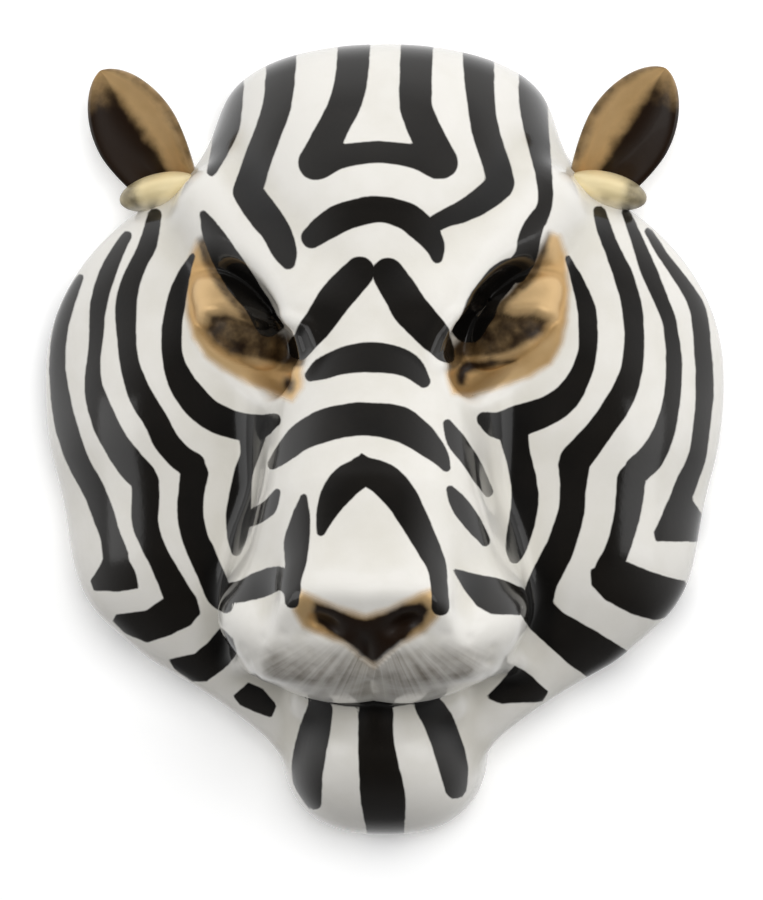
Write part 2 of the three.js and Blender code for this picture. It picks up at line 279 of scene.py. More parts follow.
# %% Grid of points
def skin(body, spokes, rings):
    """The front point, and a grid of points (ring, spoke) with even steps along each spoke.

    A first fan of fewer spokes measures the lengths. A share of each step is evened out over its spoke, and
    the turns found are averaged over ten neighbours, so that rings run smooth.
    """
    middle = np.array([[0.0, RAY_MIDDLE, 0.0]])
    ahead = FRONT_AIM - middle
    front = outermost(body, middle, ahead / np.linalg.norm(ahead))[0]
    theta = 2 * np.pi * np.arange(spokes) / spokes - np.pi / 2
    few = theta[::PROBE_EVERY]
    probe = np.tile(np.linspace(0, 1, PROBE_STEPS + 1), (len(few), 1))
    rough = outermost(body, *fan(front, few, probe), halvings=7)
    steps = np.linalg.norm(np.diff(rough, axis=1), axis=-1)
    steps = (1 - EVEN_SHARE) * steps + EVEN_SHARE * steps.mean(1, keepdims=True)
    length = np.concatenate([np.zeros((len(few), 1)), np.cumsum(steps, 1)], 1)
    length /= length[:, -1:]
    wanted = np.linspace(0, 1, rings + 1)[1:]
    t = np.stack([np.interp(wanted, *pair) for pair in zip(length, probe)])
    t = np.repeat(t, PROBE_EVERY, 0)
    t = sum(np.roll(t, k, 0) for k in range(-5, 5)) / 10
    grid = outermost(body, *fan(front, theta, t)).transpose(1, 0, 2)
    grid[-1, :, 2] = RIM_ROUND
    return front, grid


# %% Cast the skins
SPOKES, OUTER_RINGS, INNER_RINGS = 448, 178, 18
front, outer = skin(tiger_head, SPOKES, OUTER_RINGS)
back_of_front, inner = skin(inside_of_head, SPOKES, INNER_RINGS)
print("outer skin", outer.shape, "inner skin", inner.shape)

# %% [markdown]
# ## Drawing on the face
# The stripes were measured as they look from the camera, so they are drawn on a flat sheet that faces the
# camera and are carried along its lines of sight on to the mask. Each brush stroke is a curve with a width,
# and its value is how far inside the stroke a point lies, in millimetres. Its edge is made in the shader.

# %% Camera, and the sheet in front of it
CAMERA_DISTANCE = 2600
CAMERA_YAW = np.radians(3.7)
AIM = np.array([-0.3, -5, 30])
FRAME_HEIGHT = 441
SHEET_SHIFT = (1.7, -5)
toward = np.array([np.sin(CAMERA_YAW), 0, np.cos(CAMERA_YAW)])
right = np.array([np.cos(CAMERA_YAW), 0, -np.sin(CAMERA_YAW)])


def on_sheet(p):
    """Where the camera sees points: pushed out from its aim by distance / (distance - height)."""
    from_aim = p - AIM
    zoom = CAMERA_DISTANCE / (CAMERA_DISTANCE - from_aim @ toward)
    return from_aim @ right * zoom + SHEET_SHIFT[0], from_aim[..., 1] * zoom + SHEET_SHIFT[1]


# %% Brush strokes and patches
OFF_STROKE = -8.0
BRUSH_SPREAD = 0.45
UNDER_MUZZLE = 86


def curved(points, steps=5):
    """A Catmull-Rom curve through the points, a few steps to each span."""
    p = np.array(points, float)
    p = np.vstack([2 * p[0] - p[1], p, 2 * p[-1] - p[-2]])
    t = np.linspace(0, 1, steps, endpoint=False)[:, None]
    spans = []
    for a, b, c, d in zip(p[:-3], p[1:-2], p[2:-1], p[3:]):
        bend = 2 * a - 5 * b + 4 * c - d
        twist = 3 * b - a - 3 * c + d
        spans.append(0.5 * (2 * b + (c - a) * t + bend * t**2 + twist * t**3))
    return np.vstack(spans + [p[-2:-1]])


def away(x, y, a, b):
    """Distance to the straight piece from a to b, and how far along it the nearest place lies."""
    along = np.array(b) - a
    t = np.clip(((x - a[0]) * along[0] + (y - a[1]) * along[1]) / (along @ along + 1e-9), 0, 1)
    return np.hypot(x - a[0] - t * along[0], y - a[1] - t * along[1]), t


def stroke(x, y, *points):
    """Half the width less the distance to the middle line. Each point is (x, y, width)."""
    line = np.array(points, float) if len(points) < 3 else curved(points)
    inside = np.full(x.shape, OFF_STROKE)
    reach = line[:, 2].max() / 2 - OFF_STROKE
    close = (x > line[:, 0].min() - reach) & (x < line[:, 0].max() + reach)
    close &= (y > line[:, 1].min() - reach) & (y < line[:, 1].max() + reach)
    near_x, near_y = x[close], y[close]
    best = np.full(near_x.shape, OFF_STROKE)
    for a, b in zip(line[:-1], line[1:]):
        gap, t = away(near_x, near_y, a[:2], b[:2])
        best = np.maximum(best, (a[2] + (b[2] - a[2]) * t) / 2 - gap)
    inside[close] = best
    return inside


def patch(x, y, *corners):
    """Distance to the border of a patch, positive inside it."""
    corners = np.array(corners, float)
    gap = np.full(x.shape, 1e3)
    within = np.zeros(x.shape, bool)
    for a, b in zip(corners, np.roll(corners, -1, 0)):
        gap = np.minimum(gap, away(x, y, a, b)[0])
        rise = b[1] - a[1] if b[1] != a[1] else 1e-9
        crosses = ((a[1] > y) != (b[1] > y)) & (x < (b[0] - a[0]) * (y - a[1]) / rise + a[0])
        within ^= crosses
    return np.where(within, gap, -gap)


# %% [markdown]
# ## The stripes
# They follow the form as a tiger's do: legs down the forehead, arches over the bridge, long bands round the
# eyes and down the cheeks. They are painted by hand, so the two halves are alike but not the same, and each
# has its own strokes. The lists are in millimetres on the sheet: across, up, and how wide the brush is.


# %% Forehead
def forehead_stripes(x, y):
    """Three legs down each side of the crown, a bar between the inner two, and an arch under it."""
    return [
        # inner leg, left
        stroke(x, y, (-11.5, 201, 15), (-12.5, 181.5, 15), (-15.5, 166.5, 15), (-20.5, 156, 14),
               (-25.5, 146, 15), (-31, 135.5, 15.5)),
        # inner leg, right
        stroke(x, y, (19.5, 201, 15), (18.5, 179, 15), (18.5, 164, 15), (21, 156, 15), (25.5, 146, 15.5),
               (31, 136, 15.5)),
        # bar between the inner legs
        stroke(x, y, (-28.5, 136, 15.5), (-17.5, 139, 11), (0, 141, 10), (17.5, 139, 11),
               (29, 136, 15.5)),
        # second leg, left
        stroke(x, y, (-46.5, 201, 14), (-48, 176.5, 13.5), (-49.5, 164, 13), (-53, 153, 12.5),
               (-58.5, 138.5, 12.5), (-64, 121.5, 13.5)),
        # its foot, turned in to the brow
        stroke(x, y, (-64, 121.5, 13.5), (-57, 111.5, 14.5), (-50.5, 103, 13.5), (-46, 93, 11.5),
               (-44, 87, 6.5)),
        # second leg, right
        stroke(x, y, (49, 201, 15), (49.5, 179, 14), (51, 161.5, 12.5), (53.5, 148, 12.5),
               (58, 135, 12.5), (60, 126, 13)),
        # its foot, turned in to the arch
        stroke(x, y, (59.5, 124.5, 13), (51, 117.5, 12), (41.5, 112, 10), (33, 108.5, 8),
               (25.5, 104.5, 7)),
        # arch under the bar
        stroke(x, y, (-32.5, 99, 9.5), (-25.5, 104.5, 12.5), (-15, 110, 13), (0, 113, 12),
               (13, 110, 12.5), (21, 104, 12.5), (27.5, 96, 9.5), (29, 89, 4.5)),
        # outer leg, left
        stroke(x, y, (-72.5, 186, 13), (-73, 169, 13), (-74, 154.5, 12), (-77.5, 142, 8),
               (-81.5, 131.5, 4)),
        # outer leg, right, down to the brow
        stroke(x, y, (76, 184, 13), (76, 166.5, 13), (78, 149.5, 11), (81, 131.5, 7.5), (82, 117.5, 6.5),
               (79, 108, 7.5)),
    ]


# %% Brows
def brow_stripes(x, y):
    """The two brows, and the V that points up between the eyes."""
    return [
        # left brow
        stroke(x, y, (-85.5, 110.5, 3), (-81.5, 102, 8.5), (-75, 89.5, 12.5), (-68, 78.5, 13.5),
               (-60, 67, 12), (-53, 57, 12)),
        # outer end of the right brow
        stroke(x, y, (79, 110, 7), (74.5, 100, 10), (72.5, 90, 10), (67.5, 82.5, 11)),
        # right brow
        stroke(x, y, (64.5, 83.5, 10), (61, 80, 13), (55, 72.5, 14), (49, 63.5, 14), (44, 54, 12)),
        # left arm of the V between the eyes
        stroke(x, y, (-9, 82.5, 14), (-15, 76, 15.5), (-21.5, 68.5, 15.5), (-27, 60.5, 14.5),
               (-33, 52, 13), (-39, 45.5, 12)),
        # right arm of the V
        stroke(x, y, (4.8, 81.5, 14.5), (10, 73.5, 16), (15.5, 64.5, 17), (22.5, 56.5, 16),
               (29.5, 48.5, 14), (33.5, 43, 10)),
    ]


# %% Bridge and nose
def bridge_stripes(x, y):
    """The cap and the arc over the bridge, the V on the nose, and the dashes on its flanks."""
    return [
        # cap over the bridge
        stroke(x, y, (-33, 31, 4), (-26.5, 35, 9.5), (-16, 39, 12.5), (-4, 40.5, 14), (8.5, 39, 13),
               (16.5, 35.5, 10.5), (22.5, 28.5, 5.5)),
        # arc over the nose
        stroke(x, y, (-51.5, -12, 4.5), (-45.5, -6, 9), (-37.5, 1.5, 12.5), (-27.5, 6.5, 15),
               (-15.5, 9.5, 15.5), (-3, 10, 15.5), (10, 8, 16.5), (18, 3.5, 14.5), (24.5, -2, 12),
               (30.5, -8.5, 7.5), (33.5, -13.5, 3.5)),
        # upper dash on the right flank
        stroke(x, y, (34, 8, 3.5), (38, 0, 8), (45, -10, 7.5), (50, -18.5, 6), (54, -25.5, 4)),
        # lower dash on the right flank
        stroke(x, y, (35.5, -24.5, 3.5), (40, -32, 8), (46, -40, 8), (52.5, -49.5, 4.5)),
        # dash on the left flank
        stroke(x, y, (-49.5, -25.5, 2.5), (-53, -32.5, 6.5), (-59, -37, 7.5), (-66, -40, 6)),
        # left leg of the nose V
        stroke(x, y, (-7.5, -15.5, 13.5), (-15.5, -20.5, 15), (-21.5, -28, 13), (-25.5, -36.5, 8.5),
               (-28, -45, 3.5)),
        # pointed top of the nose V
        patch(x, y, (-20, -20), (-8, -7), (8, -16.5), (-7, -22)),
        # right leg of the nose V
        stroke(x, y, (-8, -14.5, 12.5), (3, -19.5, 15.5), (11.5, -28.5, 15), (18, -40, 13),
               (24, -51.5, 11), (28.5, -61.5, 9), (30, -71, 7.5), (30.5, -81.5, 8.5)),
        # strip beside the nose, left
        stroke(x, y, (-36.5, -28.5, 3), (-38, -39, 8.5), (-40, -50.5, 11.5), (-40.5, -60, 9.5),
               (-42, -71, 7), (-42.5, -79.5, 5.5)),
        # bowed dash over the left pad
        stroke(x, y, (-75.5, -75.5, 9), (-66, -74, 10), (-58, -71, 12), (-49, -68, 11), (-43, -71.5, 9),
               (-41.5, -79.5, 5)),
    ]


# %% Left cheek
def left_cheek_stripes(x, y):
    """Four bands that come down beside the ear; all but the last go on in a second stroke."""
    return [
        # first band, round the eye
        stroke(x, y, (-91, 90, 2), (-96, 78.5, 6), (-99, 67, 8.5), (-101, 54, 9), (-100.5, 40, 9.5),
               (-97, 29.5, 12), (-90.5, 20, 13.5), (-82.5, 12.5, 13.5), (-71.5, 7.5, 13), (-60, 6, 12),
               (-51, 9.5, 6)),
        # its drop down the cheek
        stroke(x, y, (-61.5, 1, 12), (-63, -7.5, 8.5), (-66, -17, 8.5), (-67.5, -27, 10),
               (-68.5, -37.5, 11), (-69, -47, 9), (-69.5, -54.5, 4)),
        # second band
        stroke(x, y, (-109.5, 110, 6), (-112.5, 96.5, 8), (-118, 85, 7.5), (-122, 74.5, 9),
               (-123.5, 62.5, 9.5), (-123, 46.5, 8.5), (-121, 34.5, 9), (-116, 21, 11),
               (-109.5, 10.5, 11), (-104, -0.5, 11.5), (-97, -8.5, 11.5), (-91, -12.5, 12)),
        # its lower half
        stroke(x, y, (-90, -16.5, 13), (-91.5, -25.5, 12), (-92, -35.5, 12), (-90, -47, 12),
               (-86, -56.5, 12.5), (-82, -66, 12), (-78, -75.5, 12), (-74.5, -81.5, 6)),
        # third band
        stroke(x, y, (-123, 100, 4), (-128.3, 91, 6), (-133.2, 80, 7.5), (-137, 66, 7.5),
               (-138, 51.5, 6), (-139.5, 37, 6), (-139, 24.5, 8.5), (-135, 11.5, 11.5), (-129.5, 0, 12),
               (-122, -11, 13.5), (-116, -17.5, 13.5)),
        # its lower half
        stroke(x, y, (-114, -20.5, 12.5), (-114, -31, 12.5), (-114, -41, 12), (-110.5, -51.5, 10.5),
               (-105.5, -61.5, 10.5), (-100, -72.5, 12.5), (-96.5, -80, 13.5)),
        # fourth band, by the rim
        stroke(x, y, (-146, 79.5, 2.5), (-150, 71, 5), (-154.5, 59, 6.5), (-157, 44, 7), (-156.5, 27, 8),
               (-153, 7.5, 10), (-147, -10.5, 10), (-140, -23.5, 10), (-135, -35.5, 10),
               (-131, -48, 9.5), (-128.5, -57, 12)),
    ]


# %% Right cheek
def right_cheek_stripes(x, y):
    """The same bands on the right, a little different by hand."""
    return [
        # first band, round the eye
        stroke(x, y, (93, 89, 2), (98, 77, 5.5), (102, 64.5, 8), (103, 53, 8.5), (102.5, 42.5, 8.5),
               (98.5, 30.5, 10), (92, 20.5, 12.5), (82.5, 14, 13.5), (71, 10, 14.5), (60, 7, 13),
               (52, 10, 6.5)),
        # its drop down the cheek
        stroke(x, y, (66.5, 2, 13.5), (68.5, -7.5, 11.5), (71, -18.5, 12), (72, -29.5, 12.5),
               (70.5, -40, 12), (68, -51.5, 10), (67, -58, 4.5)),
        # second band
        stroke(x, y, (108.5, 111.5, 5.5), (111.5, 101.5, 6.5), (115.5, 91.5, 7), (120.5, 79.5, 8.5),
               (124.5, 64.5, 9), (125.5, 49, 9), (124, 33.5, 10), (118, 18.5, 12), (109.5, 6, 12),
               (102, -3.5, 13.5), (96.5, -10, 14.5)),
        # its lower half
        stroke(x, y, (96, -12.5, 14.5), (95.5, -24.5, 12), (94.5, -35.5, 12), (90.5, -49.5, 13),
               (85.5, -60.5, 13.5), (80.5, -70.5, 13.5), (78, -79.5, 14.5)),
        # third band
        stroke(x, y, (121.5, 111.5, 3.5), (126.5, 99, 5), (132.5, 83.5, 7), (138, 70, 6.5),
               (143, 56.5, 6), (145, 37, 7), (144, 20.5, 7.5), (140.5, 5, 9.5), (134.5, -7.5, 12),
               (127.5, -14.5, 12.5)),
        # its lower half
        stroke(x, y, (124, -19.5, 13), (123, -30.5, 12.5), (121, -41.5, 11.5), (117.5, -53, 11),
               (112.5, -64.5, 12.5)),
        # fourth band, by the rim
        stroke(x, y, (132.5, 102, 3), (140, 90, 4), (149, 77.5, 5), (156.5, 64.5, 7), (159, 46.5, 7.5),
               (160, 27, 8), (159, 10, 7.5), (156.5, -7.5, 8), (151.5, -20.5, 9.5), (148, -30.5, 10),
               (148.5, -39, 12.5)),
    ]


# %% Feet of the bands
def feet_of_bands(x, y):
    """The wide ends of the bands along the jaw. They have corners, so they are patches."""
    return [
        # dash over the right pad
        patch(x, y, (37, -63.5), (47.5, -66), (60, -68.5), (72, -73.5), (69.5, -85.5), (56, -85),
              (48.5, -81), (42.5, -73)),
        # left feet, from the rim inwards
        patch(x, y, (-133, -55.5), (-124, -55.5), (-119.5, -64.5), (-117.5, -72.5), (-127.5, -74),
              (-139, -73.5), (-140.5, -69), (-136, -62.5)),
        patch(x, y, (-105.5, -78.5), (-113.5, -84), (-128, -86), (-129.5, -89), (-124, -94.5),
              (-113.5, -99), (-102, -95.5), (-92, -90.5), (-87.5, -85), (-89.5, -77), (-94.5, -71)),
        patch(x, y, (-77, -92.5), (-71.5, -97.5), (-69.5, -104.5), (-73.5, -110), (-84, -118),
              (-91, -118), (-99, -112.5), (-102, -108), (-89.5, -105), (-83, -99.5)),
        patch(x, y, (-63.5, -119.5), (-57, -122), (-50, -130), (-52.5, -135.5), (-60.5, -133),
              (-67.5, -129.5), (-70.5, -125.5)),
        # right feet, from the rim inwards
        patch(x, y, (142.5, -29.5), (153.5, -29.5), (158.5, -37), (161.5, -45.5), (159.5, -49.5),
              (136.5, -49.5), (135.5, -45.5), (139.5, -37)),
        patch(x, y, (117.5, -58.5), (128.5, -63), (139, -67), (150, -69.5), (151.5, -74), (148, -80.5),
              (142, -86.5), (135, -88), (124.5, -85), (112, -78.5), (105, -71), (104.5, -64)),
        patch(x, y, (83, -77.5), (90.5, -85), (102, -91.5), (114.5, -99), (125, -106), (119.5, -110),
              (110, -116), (103, -116), (93, -109), (84, -101), (75, -92.5), (69, -83.5)),
        patch(x, y, (67, -111), (72.5, -114), (83, -123.5), (80, -128), (60, -129), (53.5, -126),
              (60, -119.5)),
    ]


# %% Chin
def chin_stripes(x, y):
    """Three tongues down the chin."""
    return [
        # middle
        stroke(x, y, (-1, -134.5, 16.5), (-1, -147, 16.5), (0.5, -161.5, 19), (2.5, -176.5, 21),
               (4, -195, 16.5)),
        # left
        stroke(x, y, (-28.5, -132.5, 12), (-31.5, -144.5, 14.5), (-34, -157, 15), (-34.5, -166.5, 13.5),
               (-31.5, -177.5, 7)),
        # right
        stroke(x, y, (24.5, -130, 12.5), (29.5, -138, 14), (34, -149.5, 14), (37, -160.5, 13.5),
               (38, -170.5, 10)),
    ]


# %% Mouth, with painted shade in its crease
MOUTH_MIDDLE = -3
MOUTH_HALF, MOUTH_TAPER = 44, 0.4
MOUTH_LOW, MOUTH_LOW_BOW = -131, 0.005
MOUTH_FRONT, MOUTH_SET_BACK = 93, 0.0125
MOUTH_HIGH = -116


def painted_mouth_shade(x, y, depth):
    """Painted shade: a black line along the crease between the pads and the lip. Its lower edge is a
    parabola on the sheet, and its upper edge is where the pads come forward, so the line stays in the
    crease. It thins out to its corners."""
    side = np.abs(x - MOUTH_MIDDLE)
    above_low = y - MOUTH_LOW - MOUTH_LOW_BOW * side**2
    behind_front = MOUTH_FRONT - MOUTH_SET_BACK * side**2 - depth
    from_corner = (MOUTH_HALF - side) * MOUTH_TAPER
    return np.minimum.reduce([above_low, behind_front, MOUTH_HIGH - y, from_corner])


def all_ink(x, y, depth):
    """How far inside the black a point of the sheet lies: the largest of all strokes and of the painted
    shade in the mouth crease. Those of the chin stop at the underside of the muzzle, which stands higher
    than the chin."""
    strokes = forehead_stripes(x, y) + brow_stripes(x, y) + bridge_stripes(x, y)
    strokes += left_cheek_stripes(x, y) + right_cheek_stripes(x, y) + feet_of_bands(x, y)
    chin = np.minimum(np.max(chin_stripes(x, y), 0), UNDER_MUZZLE - depth)
    # painted shade: black in the crease under the pads
    mouth_crease_shade = painted_mouth_shade(x, y, depth)
    return np.maximum.reduce([np.max(strokes, 0), chin, mouth_crease_shade]) + BRUSH_SPREAD


# %% [markdown]
# ## The gilding
# Lustre is painted in the eyes and on the leather of the nose, and fired at a low heat after the glaze.
# Where the brush left it thin it turns cream. A second field paints brown over the gold: the middle of the
# leather, painted shade and dark reflection in the slits of the eyes, and painted shade under the brows.


# %% Gold
def gilded_eyes(x, y):
    """The two almonds of gold under the brows."""
    left_eye = patch(x, y, (-88.5, 98), (-93, 87), (-94.5, 73.5), (-93.5, 60.5), (-90.5, 50.5), (-84.5, 41),
                     (-75.5, 34), (-64, 28), (-53, 23.5), (-42, 19), (-37.5, 25.5), (-36.5, 33.5),
                     (-36, 43), (-43, 49), (-62.5, 69.5), (-75, 87), (-83.5, 100.5))
    right_eye = patch(x, y, (83.5, 101.5), (89, 100), (92.5, 89), (93.5, 73.5), (92.5, 59), (90, 46.5),
                      (84.5, 37), (74.5, 31), (60, 26), (45, 21.5), (36.5, 22.5), (33.5, 31.5), (32.5, 40),
                      (50, 59), (64.5, 73.5), (74.5, 86))
    return np.maximum(left_eye, right_eye)


def gilded_leather(x, y):
    """The leather of the nose: its upper edge dips in the middle, its lower edge ends in a point."""
    return patch(x, y, (-39.5, -73.5), (-30.5, -77.5), (-18, -82.5), (-6, -86), (6, -82.5), (16.5, -77),
                 (27, -73), (31, -78.5), (29, -87), (22, -94.5), (11, -100), (4, -105.5), (-1.5, -111),
                 (-8.5, -106), (-15.5, -100), (-26, -96), (-36.5, -92), (-41.5, -83.5))


# %% Brown, and painted shade in the gold
THIN_BROWN, THICK_BROWN = 1.2, 1.6
BROWN_SPREAD, BROW_SHADE = 0.8, 4


def eye_slits(x, y):
    """The slits in the middle of the gold. The relief sinks them, and the brown paints their shade and dark
    reflection.
    """
    left_slit = patch(x, y, (-82, 60), (-74.5, 61), (-66, 58.5), (-57, 56.5), (-47, 55.5), (-37, 52.5),
                      (-34, 44), (-37.5, 38), (-46, 37.5), (-57, 39), (-65, 40.5), (-73.5, 43),
                      (-80, 47.5), (-84, 53.5))
    right_slit = patch(x, y, (82.5, 58), (76.5, 61), (66.5, 60.5), (57.5, 63), (47.5, 62), (39, 56.5),
                       (32.5, 49), (30, 41.5), (37.5, 40.5), (48.5, 41), (60, 41.5), (67.5, 45), (75, 49),
                       (80.5, 52.5))
    return np.maximum(left_slit, right_slit)


def brown_and_shade_of_gold(x, y):
    """The brown in the gold, with painted shade. A field that is cut off at a low value leaves the brown
    thin, so the gold shows through it. The painted shade under a brow reaches beyond its black."""
    leather = patch(x, y, (-31, -79.5), (-22, -82), (-14, -85.5), (-6, -88), (4, -84.5), (11.5, -81),
                    (21, -79.5), (25, -83), (22, -90), (14, -97), (6, -104), (-1, -110), (-8, -106),
                    (-15, -99), (-23, -94.5), (-30, -89)) + BROWN_SPREAD
    # painted shade and dark reflection in the sunk slits of the eyes
    painted_slit_shade = np.minimum(eye_slits(x, y) + BROWN_SPREAD, THICK_BROWN)
    # painted shade: the brows cast it on the gold below them
    painted_brow_shade = np.minimum(np.max(brow_stripes(x, y), 0) + BROW_SHADE, THIN_BROWN)
    left_corner = stroke(x, y, (-44, 27.5, 6), (-44, 26, 5))
    right_lid = stroke(x, y, (67, 39, 2), (54, 37.5, 5), (42, 35, 7), (41, 28.5, 5))
    return np.maximum.reduce([leather, painted_slit_shade, painted_brow_shade, left_corner, right_lid])


# %% Fields on the grid
sheet_x, sheet_y = on_sheet(outer)
ink = all_ink(sheet_x, sheet_y, outer[..., 2])
leather = gilded_leather(sheet_x, sheet_y)
gold = np.maximum(gilded_eyes(sheet_x, sheet_y), leather)
brown_and_painted_shade = brown_and_shade_of_gold(sheet_x, sheet_y)
print("share of the grid in black", (ink > 0).mean().round(2), "and in gold", (gold > 0).mean().round(3))

# %% [markdown]
# ## Fine relief
# The mould also holds detail that is too fine for the forms above: the eyelids round the sunk slits, the
# raised leather of the nose, and the rows of whisker pits. Each is a soft bump or dent of one or two
# millimetres, added along the surface's own direction, so it shows in the outline and in the reflections.


# %% Directions of the surface
def directions(grid):
    """Unit vectors out of the surface: the cross product of the steps along rings and along spokes."""
    around = np.roll(grid, -1, 1) - np.roll(grid, 1, 1)
    down = np.gradient(grid, axis=0)
    out = np.cross(down, around)
    return out / (np.linalg.norm(out, axis=-1, keepdims=True) + 1e-12)


def soft(distance, width):
    """A round bump: 1 at no distance, falling like a bell to 0 at about twice the width."""
    return np.exp(-((distance / width) ** 2))


# %% Relief
PIT_ROWS, PITS_IN_ROW = 3, 5
FIRST_PIT, PIT_STEP = (17, -95), 10.5
ROW_STEP, ROW_SHIFT, ROW_BOW, ROW_MIDDLE = 8, 2, 0.011, 34
PIT_WIDTH, PIT_DEPTH = 1.7, 0.8
LID_RAISE, LID_FROM_SLIT, LID_WIDTH = 1.1, 5, 3
SLIT_SINK, LEATHER_RAISE = 1.8, 0.5


def whisker_pits(side, y):
    """Three bowed rows of pits on each pad, from the lip groove out to the cheek."""
    depth = np.zeros(side.shape)
    for row in range(PIT_ROWS):
        for place in range(PITS_IN_ROW):
            pit_x = FIRST_PIT[0] + PIT_STEP * place - ROW_SHIFT * row
            pit_y = FIRST_PIT[1] - ROW_STEP * row - ROW_BOW * (pit_x - ROW_MIDDLE) ** 2
            depth = np.maximum(depth, soft(np.hypot(side - pit_x, y - pit_y), PIT_WIDTH))
    return depth


def relief(side, x, y):
    """Height of the fine modelling, in millimetres: side is the distance from the face's middle plane."""
    slit = eye_slits(x, y)
    height = LID_RAISE * soft(slit + LID_FROM_SLIT, LID_WIDTH)
    height -= SLIT_SINK * np.clip((slit + 2) / 4, 0, 1)
    height += LEATHER_RAISE * np.clip(gilded_leather(x, y) / 2, 0, 1)
    return height - PIT_DEPTH * whisker_pits(side, y)


outward = directions(outer)
height = relief(np.abs(outer[..., 0]), sheet_x, sheet_y)
outer = outer + height[..., None] * outward
print("relief runs from", height.min().round(2), "to", height.max().round(2), "mm")

# %% [markdown]
# ## Closing the shell
# The rim is ground flat after firing, and its edges are rounded. For each spoke the profile goes down the
# outside, round the edge, across the flat rim, round the inner edge and up the inside. Rings of such
# points make one closed mesh with true walls.


# %% Object from points and faces
def new_piece(name, points, faces):
    """An object at the origin, from points in millimetres."""
    mesh = bpy.data.meshes.new(name)
    mesh.from_pydata(points * MM, [], faces)
    piece = bpy.data.objects.new(name, mesh)
    bpy.context.scene.collection.objects.link(piece)
    return piece


# %% Closed mesh from rings
def closed_mesh(name, start, rings, end):
    """A smooth object from closed rings of points, with a fan of triangles to a point at either end."""
    count, around = rings.shape[:2]
    points = np.vstack([start, rings.reshape(-1, 3), end])
    k = np.arange(around)
    after = (k + 1) % around
    ring = 1 + around * np.arange(count - 1)[:, None]
    quads = np.stack([ring + k, ring + around + k, ring + around + after, ring + after], -1).reshape(-1, 4)
    first = np.stack([0 * k, 1 + k, 1 + after], -1)
    last_ring = 1 + around * (count - 1)
    last = np.stack([last_ring + k, 0 * k + len(points) - 1, last_ring + after], -1)
    piece = new_piece(name, points, quads.tolist() + first.tolist() + last.tolist())
    piece.data.shade_smooth()
    return piece


# %% Numbers on the vertices
def write_field(piece, name, values):
    """A number at each vertex, which a material reads by name."""
    field = piece.data.attributes.new(name, "FLOAT", "POINT")
    field.data.foreach_set("value", np.asarray(values, np.float32))


def write_ring_fields(piece, **fields):
    """Fields that are given on the rings. The two end points take the value next to them."""
    for name, values in fields.items():
        values = values.ravel()
        write_field(piece, name, np.concatenate([values[:1], values, values[-1:]]))


# %% Rim
def rounded_edge(ring, inwards):
    """The edge turned through a quarter circle from upright to flat; inwards is towards the wall."""
    turns = np.radians([30, 60, 90])
    rings = []
    for turn in turns:
        moved = ring + inwards * RIM_ROUND * (1 - np.cos(turn))
        moved[:, 2] = RIM_ROUND * (1 - np.sin(turn))
        rings.append(moved)
    return rings


outer_edge, inner_edge = outer[-1], inner[-1]
across = inner_edge - outer_edge
across /= np.linalg.norm(across, axis=-1, keepdims=True)
rim = rounded_edge(outer_edge, across) + rounded_edge(inner_edge, -across)[::-1]
shell_rings = np.concatenate([outer, np.stack(rim), inner[::-1]])
shell = closed_mesh("striped_shell", front, shell_rings, back_of_front)
print("shell has", len(shell.data.polygons), "faces")


# %% [markdown]
# ## Pools, whisker marks and painted shade
# Glaze runs off what is raised and gathers in the creases, where its colour is deeper. How far a point lies
# below the middle of its neighbours tells the one from the other. The grey marks lie low on the pads and
# stop where the muzzle turns away, and their hairs fan out from under the nose. The same grey is painted
# shade as well: it deepens towards the bottom of the pads.

# %% Where the glaze pools
POOL_REACH, POOL_DEPTH = 6, 1.5
neighbours = sum(np.roll(outer, k, 0) + np.roll(outer, k, 1) for k in (-POOL_REACH, POOL_REACH)) / 4
pooled = np.clip(((neighbours - outer) * outward).sum(-1), -POOL_DEPTH, POOL_DEPTH)
pooled[:POOL_REACH] = 0
pooled[-POOL_REACH:] = 0

# %% Where the whisker marks and the painted shade of the pads lie
PAD_TOP, PAD_TOP_FADE = -97, 9
PAD_LOWER_PART, PAD_SHADE_DEEPENING = -100, 25
PAD_HALF, PAD_SIDE_FADE = 66, 18
PAD_LEAST_HEIGHT = 90
FACING_FROM, FACING_FULL = 0.12, 0.52
HAIRS_MIDDLE, HAIRS_SPREAD, HAIRS = -78, 4, 16
below_top = np.clip((PAD_TOP - sheet_y) / PAD_TOP_FADE, 0, 1)
# painted shade: the grey deepens down the pads, where they turn under
shade_deeper_down = 0.5 + 0.5 * np.clip((PAD_LOWER_PART - sheet_y) / PAD_SHADE_DEEPENING, 0, 1)
inside_pads = np.clip((PAD_HALF - np.abs(sheet_x - MOUTH_MIDDLE)) / PAD_SIDE_FADE, 0, 1)
facing = np.clip((outward @ toward - FACING_FROM) / (FACING_FULL - FACING_FROM), 0, 1)
pad_marks_and_shade = below_top * shade_deeper_down * inside_pads * facing
pad_marks_and_shade *= (leather < -1) & (outer[..., 2] > PAD_LEAST_HEIGHT)
comb = HAIRS * np.arctan2(HAIRS_MIDDLE - sheet_y, np.abs(sheet_x) + HAIRS_SPREAD)
print("whisker marks on", (pad_marks_and_shade > 0).mean().round(3), "of the grid")


# %% Fields of the shell
def over_shell(values, elsewhere):
    """A field of the outer skin, with one value for the rest of the shell."""
    rest = np.full(len(shell.data.vertices) - 1 - values.size, float(elsewhere))
    return np.concatenate([[values[0].mean()], values.ravel(), rest])


OFF_GOLD = -50
write_field(shell, "ink", over_shell(ink, OFF_STROKE))
write_field(shell, "gold", over_shell(gold, OFF_GOLD))
write_field(shell, "brown_and_painted_shade", over_shell(brown_and_painted_shade, OFF_STROKE))
write_field(shell, "pooled", over_shell(pooled, 0))
write_field(shell, "pad_marks_and_shade", over_shell(pad_marks_and_shade, 0))
write_field(shell, "comb", over_shell(comb, 0))
